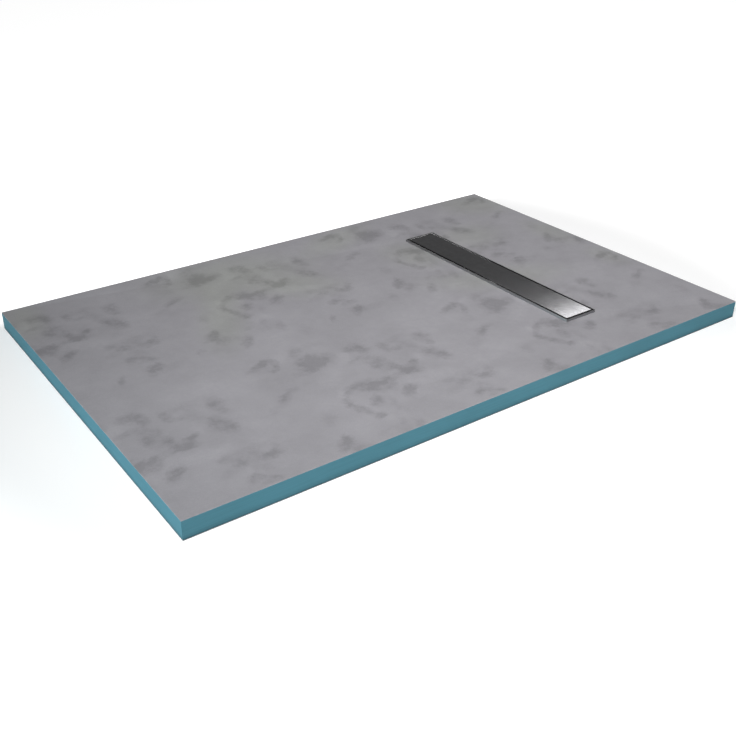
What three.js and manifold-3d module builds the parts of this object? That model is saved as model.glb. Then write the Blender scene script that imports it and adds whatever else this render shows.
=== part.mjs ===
// A tileable shower tray: a foam board with falls cut into its top, coated on both faces, with a
// steel channel drain let into it near one end.
// Millimetres. X runs along the tray, Y across it, and Z up from the middle of its underside.

import * as THREE from 'three';
import { mergeVertices } from 'three/addons/utils/BufferGeometryUtils.js';
import Module from 'manifold-3d';

const wasm = await Module();
wasm.setup();

// Tray
const TRAY_LENGTH = 1400;
const TRAY_WIDTH = 900;
const TRAY_THICKNESS = 40;
const FALL = 11;
const TOP_COATING = 1.2;
const UNDERSIDE_COATING = 1.2;

// Channel
const CHANNEL_LENGTH = 580;
const CHANNEL_WIDTH = 90;
const CHANNEL_TO_TRAY_END = 335;
const CHANNEL_SHEET = 1.5;
const RIM_ABOVE_COATING = 6;
const FOAM_UNDER_CHANNEL = 10;
const POCKET_CLEARANCE = 0.3;

// Outlet
const OUTLET_DIAMETER = 50;
const OUTLET_WALL = 1.5;
const OUTLET_CLEARANCE = 0.5;
const OUTLET_RECESS = 1;
const OUTLET_SIDES = 48;

// Cover and the bearers under it
const COVER_GAP = 4;
const COVER_THICKNESS = 2;
const COVER_EDGE_RADIUS = 0.8;
const BEARER_COUNT = 4;
const BEARER_LENGTH = 25;
const BEARER_SHEET = 1.5;
const BEARER_BEND_RADIUS = 3;
const BEARER_SIDE_DISTANCE = 3.5;
const BEARER_END_DISTANCE = 45;
const BEND_STEPS = 4;

// Levels and places that follow from them
const coatingAtChannel = TRAY_THICKNESS - FALL;
const coreUnderside = UNDERSIDE_COATING;
const pocketFloor = coreUnderside + FOAM_UNDER_CHANNEL;
const channelFloor = pocketFloor + CHANNEL_SHEET;
const rimTop = coatingAtChannel + RIM_ABOVE_COATING;
const coverUnderside = rimTop - COVER_THICKNESS;
const channelX = TRAY_LENGTH / 2 - CHANNEL_TO_TRAY_END;
const pocketWidth = CHANNEL_WIDTH + 2 * POCKET_CLEARANCE;
const pocketLength = CHANNEL_LENGTH + 2 * POCKET_CLEARANCE;
const coverWidth = CHANNEL_WIDTH - 2 * (CHANNEL_SHEET + COVER_GAP);
const coverLength = CHANNEL_LENGTH - 2 * (CHANNEL_SHEET + COVER_GAP);

const foam = new THREE.MeshStandardMaterial({ color: 0x5b92a2, roughness: 0.85, metalness: 0 });
const coating = new THREE.MeshStandardMaterial({ color: 0x98979a, roughness: 0.9, metalness: 0 });
const channelSteel = new THREE.MeshStandardMaterial({ color: 0x8d8d90, roughness: 0.35, metalness: 1 });
const coverSteel = new THREE.MeshStandardMaterial({ color: 0xa6a6a8, roughness: 0.28, metalness: 1 });

// The corners of a level rectangle, in order round it.
function rectangle(centreX, sizeX, sizeY, z) {
  const signs = [[-1, -1], [1, -1], [1, 1], [-1, 1]];
  return signs.map(([signX, signY]) => [centreX + (signX * sizeX) / 2, (signY * sizeY) / 2, z]);
}

// The outline of the whole tray at one level.
function trayOutline(z) {
  return rectangle(0, TRAY_LENGTH, TRAY_WIDTH, z);
}

// The outline of the pocket that the channel stands in.
function pocketOutline(z) {
  return rectangle(channelX, pocketWidth, pocketLength, z);
}

// An outline a given distance inside the channel's outer face.
function channelOutline(inset, z) {
  return rectangle(channelX, CHANNEL_WIDTH - 2 * inset, CHANNEL_LENGTH - 2 * inset, z);
}

// An outline a given distance inside the cover's edge.
function coverOutline(inset, z) {
  return rectangle(channelX, coverWidth - 2 * inset, coverLength - 2 * inset, z);
}

// A closed skin from ring to ring. A level face closes each end, or the last ring joins the first.
function loft(rings, looped = false) {
  const corners = rings[0].length;
  const positions = rings.flat(2);
  const indices = [];
  const bands = looped ? rings.length : rings.length - 1;
  for (let band = 0; band < bands; band += 1) {
    const lower = band * corners;
    const upper = ((band + 1) % rings.length) * corners;
    for (let corner = 0; corner < corners; corner += 1) {
      const next = (corner + 1) % corners;
      indices.push(lower + corner, lower + next, upper + next);
      indices.push(lower + corner, upper + next, upper + corner);
    }
  }
  if (!looped) {
    const last = (rings.length - 1) * corners;
    for (let corner = 1; corner < corners - 1; corner += 1) {
      indices.push(0, corner + 1, corner);
      indices.push(last, last + corner, last + corner + 1);
    }
  }
  const geometry = new THREE.BufferGeometry();
  geometry.setAttribute('position', new THREE.Float32BufferAttribute(positions, 3));
  geometry.setIndex(indices);
  return geometry;
}

function toSolid(geometry) {
  const bare = geometry.clone();
  bare.deleteAttribute('normal');
  bare.deleteAttribute('uv');
  const merged = mergeVertices(bare, 1e-4);
  return new wasm.Manifold(new wasm.Mesh({
    numProp: 3,
    vertProperties: merged.attributes.position.array,
    triVerts: Uint32Array.from(merged.index.array),
  }));
}

function toGeometry(solid) {
  const mesh = solid.getMesh();
  const geometry = new THREE.BufferGeometry();
  geometry.setAttribute('position', new THREE.Float32BufferAttribute(mesh.vertProperties, 3));
  geometry.setIndex(Array.from(mesh.triVerts));
  return geometry;
}

// An upright cylinder on the outlet's axis.
function outletCylinder(radius, bottom, top) {
  const geometry = new THREE.CylinderGeometry(radius, radius, top - bottom, OUTLET_SIDES);
  geometry.rotateX(Math.PI / 2);
  geometry.translate(channelX, 0, (bottom + top) / 2);
  return toSolid(geometry);
}

// The round hole that the foam and the underside coating leave for the outlet.
function withOutletHole(geometry) {
  const radius = OUTLET_DIAMETER / 2 + OUTLET_CLEARANCE;
  const hole = outletCylinder(radius, -UNDERSIDE_COATING, channelFloor);
  return toGeometry(toSolid(geometry).subtract(hole));
}

// The foam board: level round its edge, falling on four planes to the pocket.
function core() {
  return withOutletHole(loft([
    trayOutline(coreUnderside),
    trayOutline(TRAY_THICKNESS - TOP_COATING),
    pocketOutline(coatingAtChannel - TOP_COATING),
    pocketOutline(pocketFloor),
  ]));
}

// The coating over the falls, of one thickness all over, with the slot for the channel.
function topCoating() {
  return loft([
    trayOutline(TRAY_THICKNESS - TOP_COATING),
    trayOutline(TRAY_THICKNESS),
    pocketOutline(coatingAtChannel),
    pocketOutline(coatingAtChannel - TOP_COATING),
  ], true);
}

function undersideCoating() {
  return withOutletHole(loft([
    trayOutline(0),
    trayOutline(UNDERSIDE_COATING),
  ]));
}

// The channel: an open trough whose walls stand above the coating as the rim, and its outlet.
function channel() {
  const trough = toSolid(loft([
    channelOutline(0, pocketFloor),
    channelOutline(0, rimTop),
    channelOutline(CHANNEL_SHEET, rimTop),
    channelOutline(CHANNEL_SHEET, channelFloor),
  ]));
  const radius = OUTLET_DIAMETER / 2;
  const spigot = outletCylinder(radius, OUTLET_RECESS, pocketFloor + CHANNEL_SHEET / 2);
  const bore = outletCylinder(radius - OUTLET_WALL, -OUTLET_RECESS, channelFloor + CHANNEL_SHEET);
  return toGeometry(trough.add(spigot).subtract(bore));
}

// The cover: a flat plate, flush with the rim, with its top edges eased.
function cover() {
  const rings = [coverOutline(0, coverUnderside)];
  for (let step = 0; step <= BEND_STEPS; step += 1) {
    const angle = (Math.PI / 2) * (step / BEND_STEPS);
    const inset = COVER_EDGE_RADIUS * (1 - Math.cos(angle));
    rings.push(coverOutline(inset, rimTop - COVER_EDGE_RADIUS * (1 - Math.sin(angle))));
  }
  return loft(rings);
}

// A bearer: a strip bent to an upturned U, standing on the channel's floor under the cover.
function bearer() {
  const half = coverWidth / 2 - BEARER_SIDE_DISTANCE;
  const height = coverUnderside - channelFloor;
  const outer = BEARER_BEND_RADIUS;
  const inner = BEARER_BEND_RADIUS - BEARER_SHEET;
  const bendX = half - outer;
  const bendZ = height - outer;
  const strip = new THREE.Shape();
  strip.moveTo(-half, 0);
  strip.lineTo(-half + BEARER_SHEET, 0);
  strip.absarc(-bendX, bendZ, inner, Math.PI, Math.PI / 2, true);
  strip.absarc(bendX, bendZ, inner, Math.PI / 2, 0, true);
  strip.lineTo(half - BEARER_SHEET, 0);
  strip.lineTo(half, 0);
  strip.absarc(bendX, bendZ, outer, 0, Math.PI / 2, false);
  strip.absarc(-bendX, bendZ, outer, Math.PI / 2, Math.PI, false);
  return new THREE.ExtrudeGeometry(strip, {
    depth: BEARER_LENGTH,
    bevelEnabled: false,
    curveSegments: BEND_STEPS,
  });
}

const tray = new THREE.Group();

function addPiece(parent, name, geometry, material) {
  const mesh = new THREE.Mesh(geometry, material);
  mesh.name = name;
  parent.add(mesh);
  return mesh;
}

addPiece(tray, 'xps_core', core(), foam);
addPiece(tray, 'top_coating', topCoating(), coating);
addPiece(tray, 'underside_coating', undersideCoating(), coating);
addPiece(tray, 'drain_channel', channel(), channelSteel);
addPiece(tray, 'drain_cover', cover(), coverSteel);

// The bearers are spread evenly along the cover, and each stands with its length along Y.
const bearerSpan = coverLength - 2 * BEARER_END_DISTANCE;
for (let index = 0; index < BEARER_COUNT; index += 1) {
  const middle = bearerSpan * (index / (BEARER_COUNT - 1) - 0.5);
  const piece = addPiece(tray, `cover_bearer_${index + 1}`, bearer(), channelSteel);
  piece.rotation.x = Math.PI / 2;
  piece.position.set(channelX, middle + BEARER_LENGTH / 2, channelFloor);
}

export default tray;
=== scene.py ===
"""The looks of a tileable shower tray: a coated foam board with a steel channel drain."""
import math

import bmesh
import bpy
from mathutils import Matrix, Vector, noise


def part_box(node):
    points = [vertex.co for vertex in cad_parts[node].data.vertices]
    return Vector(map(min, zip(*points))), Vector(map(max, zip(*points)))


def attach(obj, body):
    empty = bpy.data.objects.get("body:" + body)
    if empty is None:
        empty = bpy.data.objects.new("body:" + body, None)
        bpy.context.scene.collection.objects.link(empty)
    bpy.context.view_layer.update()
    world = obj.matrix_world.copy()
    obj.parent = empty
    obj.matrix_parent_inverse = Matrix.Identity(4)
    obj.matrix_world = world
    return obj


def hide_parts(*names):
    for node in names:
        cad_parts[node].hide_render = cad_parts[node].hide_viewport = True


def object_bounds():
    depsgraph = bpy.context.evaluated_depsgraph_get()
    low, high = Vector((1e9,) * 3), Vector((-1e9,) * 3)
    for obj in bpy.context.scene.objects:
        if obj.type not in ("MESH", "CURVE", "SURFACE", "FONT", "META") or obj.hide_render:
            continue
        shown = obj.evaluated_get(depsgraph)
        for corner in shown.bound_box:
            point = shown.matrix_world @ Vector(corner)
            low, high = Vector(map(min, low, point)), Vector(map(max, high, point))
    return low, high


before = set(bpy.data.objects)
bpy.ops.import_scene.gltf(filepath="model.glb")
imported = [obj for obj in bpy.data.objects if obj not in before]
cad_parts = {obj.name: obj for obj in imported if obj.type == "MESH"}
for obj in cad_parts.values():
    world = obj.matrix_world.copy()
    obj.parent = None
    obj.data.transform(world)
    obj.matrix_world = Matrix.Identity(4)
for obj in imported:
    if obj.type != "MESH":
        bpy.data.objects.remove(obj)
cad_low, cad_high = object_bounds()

MM = 0.001

# Boxes that the materials measure from
channel_low, channel_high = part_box("drain_channel")
cover_low, cover_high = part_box("drain_cover")

# The camera, from the photograph's vanishing points. Turns are from +X, in degrees.
PHOTO_PIXELS = 736
FOCAL_PIXELS = 955.7
AXIS_COLUMN = 346.9
CAMERA_PLACE = Vector((-1.161, -1.570, 0.982))
CAMERA_TURN = 55.25
CAMERA_DIP = 29.43
SENSOR_MM = 36.0

# The coating's mottles repeat at this step along and across the tray. The green casts have a
# step so long that they don't repeat on it.
MOTTLE_STEP = 500 * MM
CAST_STEP = 2 * (cad_high.x - cad_low.x)

# A spot is full within this share of its half size, and ends at this share
SPOT_FULL = 0.25
SPOT_END = 1.95

# The lowest and highest sum of spots, and how light the mortar is there
SPOTS_LOW, SPOTS_HIGH = -0.4, 1.1
PALE_TONE, DARK_TONE = 1.09, 0.765

# The noises that push the pattern about: scale, detail and the length of the push
PATTERN_PUSHES = ((26, 2, 12 * MM), (80, 4, 20 * MM), (230, 2, 7 * MM))

# The range in which noise mostly lies
NOISE_LOW, NOISE_HIGH = 0.3, 0.7

# Relief and easing of the real surfaces. Waves are counted per metre.
COATING_CELL = 9 * MM
COATING_RELIEF = 0.2 * MM
COATING_WAVES_ALONG = 9
COATING_WAVES_ACROSS = 14
FOAM_CELL = 6 * MM
FOAM_RELIEF = 0.2 * MM
FOAM_WAVES = 60
STEEL_EASING = 0.35 * MM
EASING_SEGMENTS = 2

# Limits by which points, faces and edges of the CAD meshes are told apart
SAME_POINT = 0.001 * MM
SAME_PLANE = math.radians(0.05)
CUT_SNAP = 0.0001 * MM
POINT_ON_SIDE = 0.01 * MM
FACE_ON_SIDE = 1 * MM
BOARD_RIM = 0.1 * MM
STEEP_NORMAL = 0.5
SHARP_EDGE = math.radians(30)
SMOOTH_EDGE = math.radians(35)

# Colours, linear
COATING_LILAC = (0.291, 0.284, 0.303, 1.0)
COATING_GREEN = (0.288, 0.290, 0.284, 1.0)
FOAM_COLOUR = (0.050, 0.160, 0.204, 1.0)
COVER_COLOUR = (0.60, 0.595, 0.615, 1.0)
CHANNEL_COLOUR = (0.42, 0.42, 0.43, 1.0)
FLOOR_COLOUR = (0.85, 0.85, 0.85, 1.0)
BACKDROP_COLOUR = (0.97, 0.97, 0.97, 1.0)

# Roughness and specular level
COATING_ROUGHNESS = 0.9
COATING_SPECULAR = 0.25
FOAM_ROUGHNESS = 0.8
FOAM_SPECULAR = 0.3
COVER_ROUGHNESS = 0.12
CHANNEL_ROUGHNESS = 0.35
FLOOR_ROUGHNESS = 0.9

# How often the brush lines of the steel pieces change along each axis, per metre
COVER_BRUSHING = (900, 12, 12)
CHANNEL_BRUSHING = (60, 60, 60)

# The floor lies just below the tray. It glows fully behind the tray and far from it, so that it
# comes out white, and a little close to the tray, where a soft shadow shows.
FLOOR_HALF = 30.0
FLOOR_DROP = 0.2 * MM
NEAR_GLOW = 0.25
GLOW_RISES_FROM = 0.85
GLOW_FULL_FROM = 1.2
GLOW_RISE_BEHIND = 0.07

# The dome's light near the horizon and overhead, and the heights between which it rises
HORIZON_LIGHT = 0.065
OVERHEAD_LIGHT = 0.2
DOME_RISES_FROM = 0.5
DOME_FULL_FROM = 0.9

WHITE_LIGHT = (1.0, 1.0, 1.0)
COOL_LIGHT = (0.78, 1.0, 1.05)


class Tree:
    """A node tree, with a short call for each kind of node that the materials share."""

    def __init__(self, tree):
        self.tree = tree

    def add(self, kind, inputs=None, **settings):
        made = self.tree.nodes.new(kind)
        for key, value in settings.items():
            setattr(made, key, value)
        for key, value in (inputs or {}).items():
            self.feed(made.inputs[key], value)
        return made

    def feed(self, socket, value):
        """Links a socket to the value's socket, or sets it where the value is plain."""
        if isinstance(value, bpy.types.NodeSocket):
            self.tree.links.new(value, socket)
        else:
            socket.default_value = value

    def maths(self, operation, *values):
        inputs = dict(enumerate(values))
        return self.add("ShaderNodeMath", inputs, operation=operation).outputs[0]

    def product(self, first, *others):
        for other in others:
            first = self.maths("MULTIPLY", first, other)
        return first

    def vector(self, operation, *values):
        made = self.add("ShaderNodeVectorMath", dict(enumerate(values)), operation=operation)
        return made.outputs["Value" if operation in ("DOT_PRODUCT", "LENGTH") else "Vector"]

    def scaled(self, place, scale):
        return self.vector("MULTIPLY", place, scale)

    def axes(self, vector):
        """The X, Y and Z of a vector, by name."""
        return self.add("ShaderNodeSeparateXYZ", {"Vector": vector}).outputs

    def noise(self, place, scale, detail, roughness=0.5, output="Fac"):
        inputs = {"Vector": place, "Scale": scale, "Detail": detail, "Roughness": roughness}
        return self.add("ShaderNodeTexNoise", inputs).outputs[output]

    def ramp(self, value, low, high, out_low=0.0, out_high=1.0, smooth=True):
        inputs = {"Value": value, "From Min": low, "From Max": high,
                  "To Min": out_low, "To Max": out_high}
        kind = "SMOOTHSTEP" if smooth else "LINEAR"
        return self.add("ShaderNodeMapRange", inputs, interpolation_type=kind).outputs["Result"]

    def spread(self, noise_value, least, most):
        """Noise turned into a value between the two that are given."""
        return self.ramp(noise_value, NOISE_LOW, NOISE_HIGH, least, most)

    def blend(self, factor, first, second):
        """A mix of two colours. The mix node's sockets 6 and 7, and output 2, are its colours."""
        made = self.add("ShaderNodeMix", data_type="RGBA")
        self.feed(made.inputs["Factor"], factor)
        self.feed(made.inputs[6], first)
        self.feed(made.inputs[7], second)
        return made.outputs[2]

    def shade(self, colour, factor):
        """The colour, made lighter or darker by a factor that varies over the surface."""
        made = self.add("ShaderNodeVectorMath", {0: colour, "Scale": factor}, operation="SCALE")
        return made.outputs["Vector"]


def new_material(name, colour, roughness, metallic=0.0):
    """A material with its even values on the shader's own sockets."""
    material = bpy.data.materials.new(name)
    material.use_nodes = True
    tree = Tree(material.node_tree)
    shader = material.node_tree.nodes["Principled BSDF"]
    shader.inputs["Base Color"].default_value = colour
    shader.inputs["Roughness"].default_value = roughness
    shader.inputs["Metallic"].default_value = metallic
    return material, tree, shader


def object_place(tree):
    return tree.add("ShaderNodeTexCoord").outputs["Object"]


def tint(tree, shader, colour, *factors):
    """Gives the shader the colour, times the factors that vary over the surface."""
    tree.feed(shader.inputs["Base Color"], tree.shade(colour, tree.product(*factors)))


def bump(tree, shader, height, distance, strength):
    inputs = {"Height": height, "Distance": distance, "Strength": strength}
    tree.feed(shader.inputs["Normal"], tree.add("ShaderNodeBump", inputs).outputs["Normal"])


# The mottles of one step of the pattern, listed one by one. Each is its middle, in mm along from
# the left end and in from the back edge, its half length and half width, its turn in degrees from
# the length towards the front, and its strength. A strength below zero is a pale patch.
MOTTLES = [
    (46, 76, 13, 12, 20, 0.85),
    (68, 70, 14, 9, 60, 0.6),
    (69, 92, 16, 11, 80, 0.95),
    (28, 121, 17, 6, 165, 0.55),
    (112, 107, 18, 9, 85, 0.75),
    (143, 92, 26, 10, 170, 0.35),
    (133, 127, 9, 7, 0, 0.6),
    (160, 130, 28, 13, 75, 0.4),
    (211, 110, 16, 14, 100, 0.85),
    (212, 143, 9, 9, 0, 0.6),
    (205, 128, 22, 12, 90, 0.3),
    (62, 135, 20, 16, 60, 0.5),
    (51, 162, 12, 13, 0, 0.85),
    (76, 146, 12, 9, 0, 0.35),
    (66, 184, 22, 13, 45, 0.45),
    (84, 190, 24, 9, 78, 0.85),
    (96, 218, 22, 9, 5, 0.95),
    (110, 204, 22, 10, 150, 0.85),
    (126, 192, 10, 6, 160, 0.5),
    (189, 190, 26, 15, 72, 0.95),
    (176, 172, 12, 8, 120, 0.4),
    (203, 205, 10, 8, 90, 0.5),
    (20, 224, 38, 9, 175, 0.7),
    (4, 238, 16, 15, 90, 0.9),
    (32, 240, 20, 10, 110, 0.8),
    (46, 282, 20, 11, 125, 1.0),
    (60, 274, 12, 9, 150, 0.6),
    (136, 290, 12, 10, 0, 0.45),
    (185, 288, 42, 9, 175, 0.3),
    (160, 311, 11, 14, 90, 0.75),
    (130, 326, 26, 10, 160, 0.35),
    (209, 321, 19, 10, 3, 1.05),
    (228, 305, 14, 8, 130, 0.6),
    (192, 303, 12, 8, 60, 0.4),
    (152, 366, 14, 9, 140, 0.85),
    (178, 345, 18, 12, 60, 0.4),
    (172, 374, 15, 7, 40, 0.65),
    (188, 388, 10, 8, 0, 0.6),
    (165, 390, 8, 6, 0, 0.5),
    (175, 427, 15, 13, 0, 1.05),
    (163, 446, 14, 7, 130, 0.5),
    (185, 415, 10, 8, 0, 0.5),
    (208, 438, 26, 11, 165, 0.35),
    (101, 437, 14, 6, 115, 0.75),
    (284, 415, 9, 9, 0, 0.45),
    (308, 430, 32, 12, 10, 0.25),
    (338, 366, 20, 11, 135, 1.05),
    (320, 384, 9, 6, 0, 0.5),
    (347, 352, 14, 6, 110, 0.6),
    (345, 396, 18, 13, 110, 0.75),
    (388, 430, 22, 10, 125, 1.0),
    (372, 400, 16, 7, 30, 0.3),
    (360, 282, 18, 11, 110, 0.45),
    (332, 170, 14, 9, 150, 0.85),
    (356, 157, 14, 8, 155, 0.65),
    (300, 195, 34, 10, 150, 0.25),
    (345, 38, 22, 8, 160, 0.85),
    (367, 30, 16, 10, 170, 1.0),
    (383, 48, 15, 7, 100, 0.8),
    (371, 68, 14, 6, 130, 0.55),
    (352, 55, 26, 14, 20, 0.35),
    (440, 82, 26, 20, 130, 0.9),
    (458, 74, 24, 22, 45, 0.9),
    (444, 102, 24, 12, 150, 0.7),
    (475, 88, 12, 12, 0, 0.6),
    (495, 76, 14, 10, 90, 0.5),
    (443, 25, 22, 11, 130, 0.55),
    (475, 20, 26, 10, 170, 0.3),
    (401, 108, 11, 8, 0, 0.4),
    (355, 103, 22, 14, 20, 0.3),
    (421, 250, 16, 9, 95, 0.75),
    (431, 288, 26, 9, 72, 0.9),
    (449, 219, 20, 7, 145, 0.6),
    (478, 208, 26, 9, 170, 0.7),
    (490, 226, 20, 12, 10, 0.7),
    (473, 276, 17, 11, 115, 1.1),
    (447, 322, 11, 7, 150, 0.85),
    (494, 300, 20, 7, 100, 0.4),
    (465, 362, 12, 6, 120, 0.45),
    (418, 376, 14, 5, 160, 0.3),
    (485, 398, 20, 9, 105, 0.65),
    (455, 392, 14, 12, 0, 0.4),
    (20, 455, 26, 14, 160, 0.2),
    (110, 258, 46, 16, 8, -0.4),
    (18, 98, 20, 12, 100, -0.35),
    (145, 180, 22, 10, 100, -0.3),
    (400, 30, 24, 12, 130, -0.35),
    (425, 225, 16, 6, 120, -0.4),
    (470, 345, 24, 14, 10, -0.35),
    (450, 455, 22, 20, 0, -0.3),
    (260, 60, 60, 40, 0, -0.15),
    (470, 140, 50, 16, 145, -0.3),
]

# Places where the grey leans to green instead of lilac, in the same six values
GREEN_CASTS = [
    (30, 70, 80, 34, 100, 0.8),
    (520, 110, 150, 90, 10, 1.0),
    (400, 290, 120, 40, 115, 0.9),
    (640, 250, 80, 50, 20, 0.7),
    (860, 60, 90, 40, 160, 0.8),
    (990, 250, 70, 60, 60, 0.8),
    (1180, 230, 60, 70, 90, 0.7),
    (1060, 470, 130, 50, 20, 0.8),
    (1340, 60, 90, 60, 40, 0.8),
    (1370, 340, 70, 36, 90, 0.7),
    (1370, 540, 50, 30, 90, 0.6),
]


def spot_group(name, step):
    """One soft oval spot that repeats at a step along and across, as a node group."""
    group = bpy.data.node_groups.new(name, "ShaderNodeTree")
    for socket in ("Place", "Middle", "Along", "Across"):
        group.interface.new_socket(socket, in_out="INPUT", socket_type="NodeSocketVector")
    group.interface.new_socket("Strength", in_out="INPUT", socket_type="NodeSocketFloat")
    group.interface.new_socket("Amount", in_out="OUTPUT", socket_type="NodeSocketFloat")
    tree = Tree(group)
    given = tree.add("NodeGroupInput").outputs
    half_step = (step / 2,) * 3
    offset = tree.vector("SUBTRACT", given["Place"], given["Middle"])
    nearest = tree.vector("WRAP", offset, half_step, tuple(-value for value in half_step))
    along = tree.vector("DOT_PRODUCT", nearest, given["Along"])
    across = tree.vector("DOT_PRODUCT", nearest, given["Across"])
    squares = tree.maths("MULTIPLY_ADD", along, along, tree.maths("MULTIPLY", across, across))
    amount = tree.ramp(tree.maths("SQRT", squares), SPOT_END, SPOT_FULL)
    tree.add("NodeGroupOutput", {"Amount": tree.maths("MULTIPLY", amount, given["Strength"])})
    return group


def spots_sum(tree, pattern, name, step, spots):
    """The sum of a list of repeating spots at a place on the pattern."""
    group = spot_group(name, step)
    total = 0.0
    for along, inward, half_length, half_width, turn, strength in spots:
        angle = math.radians(turn)
        direction = Vector((math.cos(angle), math.sin(angle), 0))
        side = Vector((-math.sin(angle), math.cos(angle), 0))
        spot = tree.add("ShaderNodeGroup", node_tree=group)
        tree.feed(spot.inputs["Place"], pattern)
        spot.inputs["Middle"].default_value = (along * MM, inward * MM, 0)
        spot.inputs["Along"].default_value = direction / (half_length * MM)
        spot.inputs["Across"].default_value = side / (half_width * MM)
        spot.inputs["Strength"].default_value = strength
        total = tree.maths("ADD", total, spot.outputs["Amount"])
    return total


def pattern_place(tree, place):
    """The place measured from the back left corner, pushed about so that spots get ragged edges."""
    flat = tree.scaled(place, (1, -1, 0))
    pattern = tree.vector("ADD", flat, (-cad_low.x, cad_high.y, 0))
    for scale, detail, push in PATTERN_PUSHES:
        wander = tree.noise(place, scale, detail, roughness=0.6, output="Color")
        centred = tree.vector("SUBTRACT", wander, (0.5, 0.5, 0.5))
        pattern = tree.vector("MULTIPLY_ADD", centred, (push, push, 0), pattern)
    return pattern


def inside_edge(tree, place, low, high):
    """How far a place lies inside the outline of a box, seen from above."""
    middle, half = (low + high) / 2, (high - low) / 2
    offset = tree.vector("ABSOLUTE", tree.vector("SUBTRACT", place, middle))
    room = tree.axes(tree.vector("SUBTRACT", half, offset))
    return tree.maths("MINIMUM", room["X"], room["Y"])


def mottled_tone(tree, place, pattern):
    """How light the mortar is by its dark mottles and pale patches."""
    total = spots_sum(tree, pattern, "mottle", MOTTLE_STEP, MOTTLES)
    uneven = tree.spread(tree.noise(place, scale=75, detail=4, roughness=0.65), 0.5, 1.25)
    return tree.ramp(tree.maths("MULTIPLY", total, uneven), SPOTS_LOW, SPOTS_HIGH,
                     PALE_TONE, DARK_TONE, smooth=False)


def painted_contact_shadow_tone(tree, place):
    """Painted shade: a contact shadow darkening the lowest edge of the tray's sides, and one
    elsewhere.
    """
    inside = inside_edge(tree, place, cad_low, cad_high)
    off_edge = tree.maths("MAXIMUM", tree.axes(place)["Z"], inside)
    return tree.ramp(off_edge, 0.1 * MM, 2 * MM, 0.45, 1.0)


def coating_material():
    """Grey cement mortar: soft dark mottles, faint clouds, fine grain and a trowel's strokes, with
    painted contact shadow along the lowest edge.
    """
    material, tree, shader = new_material("cement_coating", COATING_LILAC, COATING_ROUGHNESS)
    shader.inputs["Specular IOR Level"].default_value = COATING_SPECULAR
    place = object_place(tree)
    pattern = pattern_place(tree, place)
    cast = spots_sum(tree, pattern, "cast", CAST_STEP, GREEN_CASTS)
    colour = tree.blend(tree.maths("MINIMUM", cast, 1.0), COATING_LILAC, COATING_GREEN)
    clouds = tree.ramp(tree.noise(place, scale=9, detail=6, roughness=0.68), 0.25, 0.75,
                       0.905, 1.105, smooth=False)
    grain = tree.spread(tree.noise(place, scale=520, detail=2), 0.97, 1.03)
    # Its last factor is painted contact shadow along the tray's lowest edge.
    tint(tree, shader, colour, mottled_tone(tree, place, pattern), clouds, grain,
         painted_contact_shadow_tone(tree, place))
    patches = tree.spread(tree.noise(place, scale=40, detail=3), 0.82, 0.95)
    tree.feed(shader.inputs["Roughness"], patches)
    fine = tree.noise(place, scale=420, detail=3, roughness=0.6)
    strokes = tree.noise(tree.scaled(place, (1, 6, 1)), scale=12, detail=3)
    height = tree.maths("MULTIPLY_ADD", strokes, 0.6, tree.maths("MULTIPLY", fine, 0.25))
    bump(tree, shader, height, distance=0.25 * MM, strength=0.6)
    return material


def foam_material():
    """Teal extruded foam: a fine closed cell, the streaks of the cutting wire, and painted contact
    shadow darkening the low edge.
    """
    material, tree, shader = new_material("cut_foam", FOAM_COLOUR, FOAM_ROUGHNESS)
    shader.inputs["Specular IOR Level"].default_value = FOAM_SPECULAR
    place = object_place(tree)
    drift = tree.spread(tree.noise(place, scale=5, detail=2), 0.96, 1.04)
    stretched = tree.scaled(place, (9, 9, 420))
    streaks = tree.spread(tree.noise(stretched, scale=1, detail=3), 0.955, 1.04)
    cells = tree.add("ShaderNodeTexVoronoi", {"Vector": place, "Scale": 900})
    cell = tree.ramp(cells.outputs["Distance"], 0.0, 0.7, 1.02, 0.97)
    above_floor = tree.axes(place)["Z"]
    # Painted contact shadow: a dark line at the foot of the sides, and painted shade fading up over
    # the lowest part.
    painted_contact_shadow_line = tree.ramp(above_floor, 1.5 * MM, 4.5 * MM, 0.5, 1.0)
    painted_shade_low_part = tree.ramp(above_floor, 2 * MM, 14 * MM, 0.76, 1.0)
    tint(tree, shader, FOAM_COLOUR[:3], drift, streaks, cell, painted_contact_shadow_line, painted_shade_low_part)
    bump(tree, shader, tree.maths("ADD", streaks, cell), distance=0.2 * MM, strength=0.7)
    return material


def steel_material(name, colour, roughness, brushing, least_tone, most_tone):
    """Stainless steel with fine brush lines, and the tree, place and tone for more shading."""
    material, tree, shader = new_material(name, colour, roughness, metallic=1.0)
    place = object_place(tree)
    lines = tree.noise(tree.scaled(place, brushing), scale=1, detail=3, roughness=0.65)
    patches = tree.noise(place, scale=14, detail=3)
    gloss = tree.spread(patches, roughness * 0.96, roughness * 1.05)
    tree.feed(shader.inputs["Roughness"], gloss)
    bump(tree, shader, lines, distance=0.02 * MM, strength=0.5)
    return material, tree, shader, place, tree.spread(lines, least_tone, most_tone)


def cover_material():
    """Brushed steel, with painted shade darkening the cover's outline as on the photograph."""
    material, tree, shader, place, tone = steel_material(
        "brushed_cover_steel", COVER_COLOUR, COVER_ROUGHNESS, COVER_BRUSHING, 0.93, 1.07)
    inside = inside_edge(tree, place, cover_low, cover_high)
    # Painted shade: the cover's outline is darkened to stand for the dark gap round it, where no
    # glint shows.
    edge = tree.ramp(inside, 0.4 * MM, 1.2 * MM, 0.12, 1.0)
    smears = tree.spread(tree.noise(place, scale=60, detail=4, roughness=0.7), 0.95, 1.06)
    tint(tree, shader, COVER_COLOUR[:3], tone, edge, smears)
    return material


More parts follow.
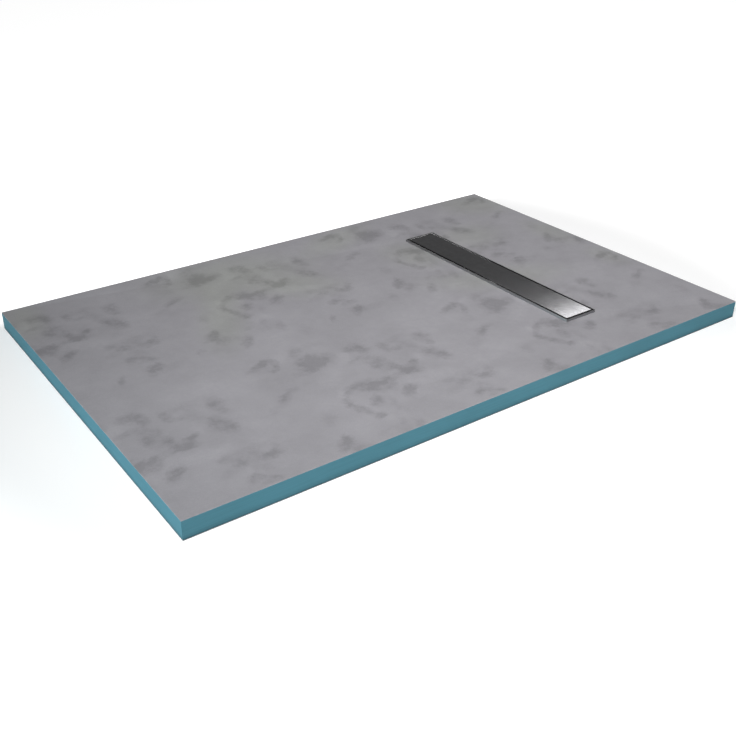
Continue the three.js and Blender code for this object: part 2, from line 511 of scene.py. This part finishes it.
def channel_material():
    """Satin steel that is bright on the channel's outer faces, with painted shade darkening
    everywhere inside them.
    """
    material, tree, shader, place, tone = steel_material(
        "satin_channel_steel", CHANNEL_COLOUR, CHANNEL_ROUGHNESS, CHANNEL_BRUSHING, 0.955, 1.04)
    inside = inside_edge(tree, place, channel_low, channel_high)
    # Painted shade: everything inside the channel's outer faces is darkened, so that the gap round
    # the cover looks black.
    painted_inner_shade = tree.ramp(inside, 0.1 * MM, 0.5 * MM, 1.0, 0.3)
    tint(tree, shader, CHANNEL_COLOUR[:3], tone, painted_inner_shade)
    return material


def copied(node, name):
    """A new object with a copy of a CAD node's mesh, which will stand for that node."""
    piece = bpy.data.objects.new(name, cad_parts[node].data.copy())
    bpy.context.scene.collection.objects.link(piece)
    piece.data.materials.clear()
    return piece


def opened(piece):
    """The piece's mesh for editing, with doubled points joined and flat faces made whole."""
    mesh = bmesh.new()
    mesh.from_mesh(piece.data)
    bmesh.ops.remove_doubles(mesh, verts=mesh.verts, dist=SAME_POINT)
    bmesh.ops.dissolve_limit(mesh, angle_limit=SAME_PLANE, verts=mesh.verts, edges=mesh.edges)
    return mesh


def closed(piece, mesh, smooth=False):
    """Writes the edited mesh back to its piece."""
    for face in mesh.faces:
        face.smooth = smooth
    mesh.to_mesh(piece.data)
    mesh.free()


def sliced(mesh, low, high, cell, axis, faces=None):
    """Cuts the mesh, or the faces that a function picks, by evenly spaced planes across an axis."""
    count = max(1, round((high - low) / cell))
    normal = Vector((0, 0, 0))
    normal[axis] = 1
    for index in range(1, count):
        place = Vector((0, 0, 0))
        place[axis] = low + (high - low) * index / count
        chosen = faces(mesh) if faces else mesh.faces
        edges = {edge for face in chosen for edge in face.edges}
        verts = {vert for edge in edges for vert in edge.verts}
        bmesh.ops.bisect_plane(mesh, geom=[*verts, *edges, *chosen], plane_co=place,
                               plane_no=normal, dist=CUT_SNAP)


def dent(relief, place):
    """How deep a surface dips at a place: between none and the whole relief."""
    return relief * (0.5 + 0.5 * noise.noise(place))


def top_coating_piece(material):
    """The coating over the falls, with the slow waves that a trowel leaves."""
    piece = copied("top_coating", "dressed_top_coating")
    mesh = opened(piece)
    sliced(mesh, cad_low.x, cad_high.x, COATING_CELL, 0)
    sliced(mesh, cad_low.y, cad_high.y, COATING_CELL, 1)
    for vert in mesh.verts:
        if vert.normal.z > STEEP_NORMAL:
            waves = (vert.co.x * COATING_WAVES_ALONG, vert.co.y * COATING_WAVES_ACROSS, 0.3)
            vert.co.z -= dent(COATING_RELIEF, Vector(waves))
    closed(piece, mesh)
    finish_piece(piece, material, "top_coating")


def side_faces(mesh):
    """The upright faces on the tray's four sides."""
    upright = [face for face in mesh.faces if abs(face.normal.z) < STEEP_NORMAL]
    return [face for face in upright if on_tray_side(face)]


def on_tray_side(face):
    middle = face.calc_center_median()
    near_x = min(abs(middle.x - cad_low.x), abs(middle.x - cad_high.x))
    near_y = min(abs(middle.y - cad_low.y), abs(middle.y - cad_high.y))
    return min(near_x, near_y) < FACE_ON_SIDE


def foam_piece(material):
    """The foam board, its cut sides slightly uneven."""
    piece = copied("xps_core", "dressed_core")
    mesh = opened(piece)
    sliced(mesh, cad_low.x, cad_high.x, FOAM_CELL, 0, side_faces)
    sliced(mesh, cad_low.y, cad_high.y, FOAM_CELL, 1, side_faces)
    core_low, core_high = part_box("xps_core")
    sliced(mesh, core_low.z, core_high.z, FOAM_CELL, 2, side_faces)
    for vert in mesh.verts:
        if not core_low.z + BOARD_RIM < vert.co.z < core_high.z - BOARD_RIM:
            continue
        depth = dent(FOAM_RELIEF, vert.co * FOAM_WAVES)
        for axis in (0, 1):
            if abs(vert.co[axis] - cad_low[axis]) < POINT_ON_SIDE:
                vert.co[axis] += depth
            elif abs(vert.co[axis] - cad_high[axis]) < POINT_ON_SIDE:
                vert.co[axis] -= depth
    closed(piece, mesh)
    finish_piece(piece, material, "xps_core")


def channel_piece(material):
    """The steel channel with its sharp edges slightly rounded."""
    piece = copied("drain_channel", "dressed_channel")
    mesh = opened(piece)
    sharp = [edge for edge in mesh.edges if edge.calc_face_angle(0) > SHARP_EDGE]
    bmesh.ops.bevel(mesh, geom=sharp, offset=STEEL_EASING, segments=EASING_SEGMENTS,
                    profile=0.5, affect="EDGES", clamp_overlap=True)
    closed(piece, mesh, smooth=True)
    finish_piece(piece, material, "drain_channel")
    piece.data.set_sharp_from_angle(angle=SMOOTH_EDGE)


def finish_piece(piece, material, node):
    """Gives a detailed piece its material and body, and lets it stand for its CAD node."""
    piece.data.materials.append(material)
    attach(piece, "root")
    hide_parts(node)


def dress_node(node, material):
    """Gives a CAD node its material and leaves its mesh as it is."""
    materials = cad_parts[node].data.materials
    materials.clear()
    materials.append(material)


def floor_material():
    """A pale matt floor that glows more behind the tray and far from it."""
    material, tree, shader = new_material("pale_floor", FLOOR_COLOUR, FLOOR_ROUGHNESS)
    shader.inputs["Emission Color"].default_value = FLOOR_COLOUR
    place = object_place(tree)
    distance = tree.vector("LENGTH", tree.scaled(place, (1, 1, 0)))
    far = tree.ramp(distance, GLOW_RISES_FROM, GLOW_FULL_FROM)
    behind = tree.ramp(tree.axes(place)["Y"], cad_high.y, cad_high.y + GLOW_RISE_BEHIND)
    glow = tree.ramp(tree.maths("MAXIMUM", far, behind), 0, 1, NEAR_GLOW, 1.0, smooth=False)
    tree.feed(shader.inputs["Emission Strength"], glow)
    return material


def make_floor():
    mesh = bpy.data.meshes.new("floor")
    level = cad_low.z - FLOOR_DROP
    signs = ((-1, -1), (1, -1), (1, 1), (-1, 1))
    corners = [(x * FLOOR_HALF, y * FLOOR_HALF, level) for x, y in signs]
    mesh.from_pydata(corners, [], [(0, 1, 2, 3)])
    mesh.materials.append(floor_material())
    floor = bpy.data.objects.new("floor", mesh)
    bpy.context.scene.collection.objects.link(floor)


def make_camera():
    data = bpy.data.cameras.new("camera")
    data.sensor_width = SENSOR_MM
    data.lens = FOCAL_PIXELS / PHOTO_PIXELS * SENSOR_MM
    data.shift_x = (PHOTO_PIXELS / 2 - AXIS_COLUMN) / PHOTO_PIXELS
    camera = bpy.data.objects.new("camera", data)
    turn, dip = math.radians(CAMERA_TURN), math.radians(CAMERA_DIP)
    level = math.cos(dip)
    forward = Vector((level * math.cos(turn), level * math.sin(turn), -math.sin(dip)))
    camera.location = CAMERA_PLACE
    camera.rotation_mode = "QUATERNION"
    camera.rotation_quaternion = forward.to_track_quat("-Z", "Y")
    bpy.context.scene.collection.objects.link(camera)
    bpy.context.scene.camera = camera


def make_softbox(name, place, target, size, power, spread=180, colour=WHITE_LIGHT):
    """A flat lamp at a place that faces a target. Its power is in watts, its spread in degrees."""
    data = bpy.data.lights.new(name, "AREA")
    data.shape = "RECTANGLE"
    data.size, data.size_y = size
    data.energy = power
    data.spread = math.radians(spread)
    data.color = colour
    lamp = bpy.data.objects.new(name, data)
    lamp.location = place
    lamp.rotation_mode = "QUATERNION"
    lamp.rotation_quaternion = (Vector(target) - Vector(place)).to_track_quat("-Z", "Y")
    lamp.visible_camera = False
    bpy.context.scene.collection.objects.link(lamp)


def make_lights():
    """A key behind the camera, low fills for the sides, and a card that the cover reflects."""
    make_softbox("key", (-1.34, -1.63, 1.85), (1.55, 0.94, 0), (0.6, 0.6), power=33, spread=90)
    make_softbox("left_fill", (-2.0, -0.5, 0.2), (-0.7, -0.2, 0.02), (0.9, 0.3), power=15,
                 colour=COOL_LIGHT)
    make_softbox("back_fill", (1.6, 2.2, 0.25), (0.3, 0.4, 0.02), (1.6, 0.3), power=10)
    make_softbox("back_card", (2.4, 1.5, 1.87), (2.4, 0.0, 1.87), (2.2, 1.1), power=15)


def make_world():
    """A dome that is dim near the horizon, so that steel has something dark to reflect. The
    camera itself sees a plain pale backdrop."""
    world = bpy.data.worlds.new("studio")
    world.use_nodes = True
    tree = Tree(world.node_tree)
    background = world.node_tree.nodes["Background"]
    height = tree.axes(tree.add("ShaderNodeTexCoord").outputs["Generated"])["Z"]
    dome = tree.ramp(height, DOME_RISES_FROM, DOME_FULL_FROM, HORIZON_LIGHT, OVERHEAD_LIGHT)
    seen = tree.add("ShaderNodeLightPath").outputs["Is Camera Ray"]
    tree.feed(background.inputs["Color"], tree.blend(seen, dome, BACKDROP_COLOUR))
    background.inputs["Strength"].default_value = 1.0
    bpy.context.scene.world = world


coating = coating_material()
foam = foam_material()
cover_steel = cover_material()
channel_steel = channel_material()

top_coating_piece(coating)
foam_piece(foam)
dress_node("underside_coating", coating)
channel_piece(channel_steel)
dress_node("drain_cover", cover_steel)
for bearer_name in sorted(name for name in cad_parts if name.startswith("cover_bearer")):
    dress_node(bearer_name, channel_steel)

make_floor()
make_camera()
make_world()
make_lights()
bpy.context.scene.view_settings.view_transform = "Standard"
